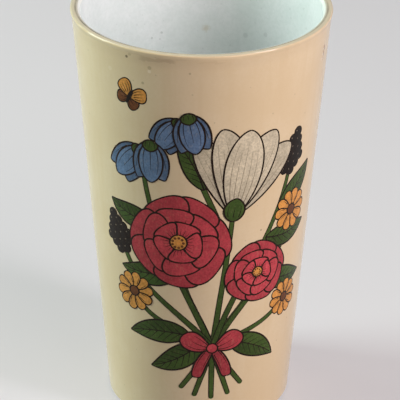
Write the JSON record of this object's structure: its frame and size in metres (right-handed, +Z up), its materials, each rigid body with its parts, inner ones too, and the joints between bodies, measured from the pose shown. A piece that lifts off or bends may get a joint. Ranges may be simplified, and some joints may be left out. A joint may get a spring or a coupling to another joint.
{
  "type": "ceramic beaker",
  "caption": "Tall round ceramic beaker with no handle, tapering to a foot ring; ivory glaze outside, white glaze inside, and an enamel print of a posy tied with a bow.",
  "frame": {"origin": "on the ground, under the middle of the foot ring", "axes": "+Z up through the mouth; the middle of the printed side faces -Y"},
  "size_m": [0.0728, 0.0728, 0.12],
  "materials": {
    "biscuit_clay": "matte",
    "ivory_glaze": "gloss",
    "white_glaze": "gloss",
    "enamel_green": "gloss",
    "enamel_crimson": "gloss",
    "enamel_gold": "gloss",
    "enamel_brown": "gloss",
    "enamel_blue": "gloss",
    "enamel_cream": "gloss",
    "enamel_black": "gloss"
  },
  "bodies": {
    "root": {"clay_body": "biscuit_clay", "outer_glaze": "ivory_glaze", "inner_glaze": "white_glaze", "base_glaze": "ivory_glaze", "print_foliage": "enamel_green", "print_rose_large": "enamel_crimson", "print_rose_large_heart": "enamel_gold", "print_rose_small": "enamel_crimson", "print_rose_small_heart": "enamel_gold", "print_lily": "enamel_cream", "print_lily_calyx": "enamel_green", "print_bell_left_back": "enamel_blue", "print_bell_left_back_calyx": "enamel_green", "print_bell_left_front": "enamel_blue", "print_bell_left_front_calyx": "enamel_green", "print_bell_top_back": "enamel_blue", "print_bell_top_back_calyx": "enamel_green", "print_bell_top_front": "enamel_blue", "print_bell_top_front_calyx": "enamel_green", "print_marigold_right": "enamel_gold", "print_marigold_right_heart": "enamel_brown", "print_marigold_left": "enamel_gold", "print_marigold_left_heart": "enamel_brown", "print_marigold_low": "enamel_gold", "print_marigold_low_heart": "enamel_brown", "print_berries_right": "enamel_black", "print_berries_left": "enamel_black", "print_bow": "enamel_crimson", "print_bow_knot": "enamel_crimson", "print_butterfly": "enamel_gold", "print_butterfly_body": "enamel_black"}
  },
  "joints": []
}
